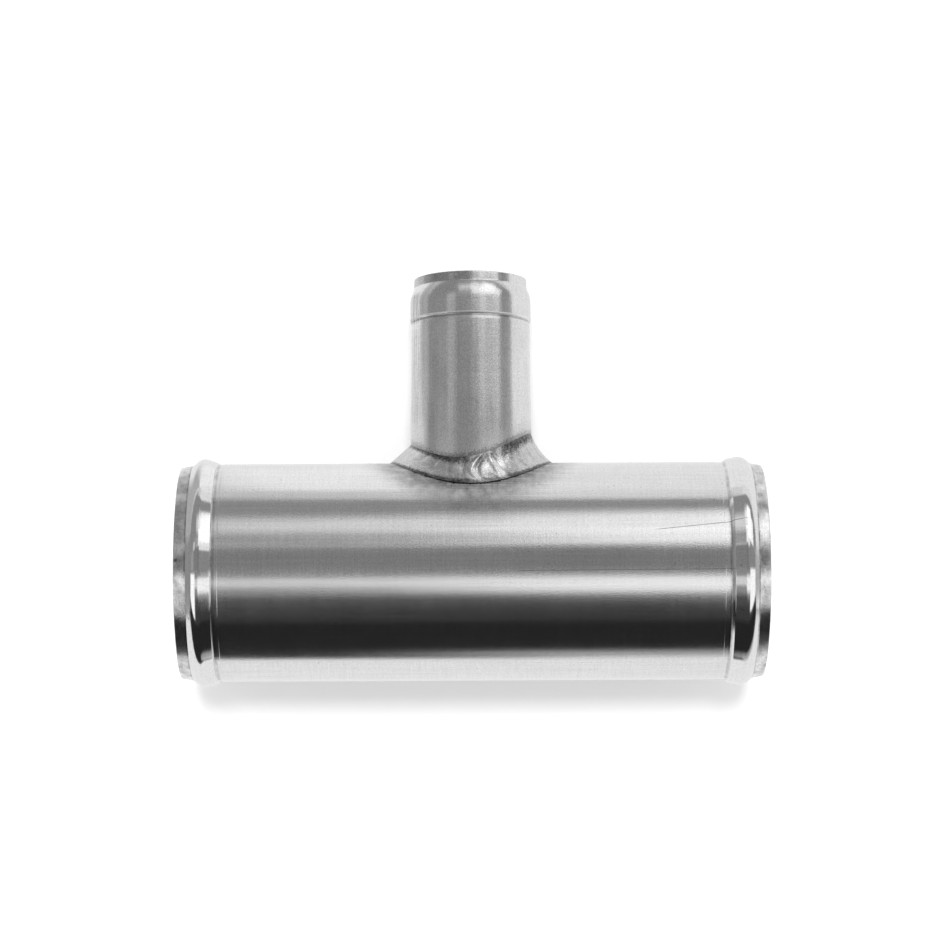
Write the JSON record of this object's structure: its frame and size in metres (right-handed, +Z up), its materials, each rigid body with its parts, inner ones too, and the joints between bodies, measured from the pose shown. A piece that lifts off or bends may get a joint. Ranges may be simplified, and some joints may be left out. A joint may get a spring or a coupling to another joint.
{
  "type": "aluminium hose tee",
  "caption": "Welded aluminium hose tee: a straight run tube with a rolled bead at each end and a smaller beaded branch tube welded on at its middle, open right through.",
  "frame": {"origin": "where the centre lines of the run tube and the branch tube cross, at the middle of the run tube", "axes": "+X along the run tube; +Z up as the tee lies on a floor on its two run beads and on the bead of its branch; the branch points along +Y and dips 11.45 degrees below level"},
  "size_m": [0.1516, 0.1088, 0.0599],
  "materials": {
    "tube": "finely brushed tube, polished on the rolled beads and lips",
    "weld": "weld metal as laid, satin, with ripples"
  },
  "bodies": {
    "root": {"run_tube": "tube", "branch_tube": "tube", "weld_bead": "weld"}
  },
  "joints": []
}
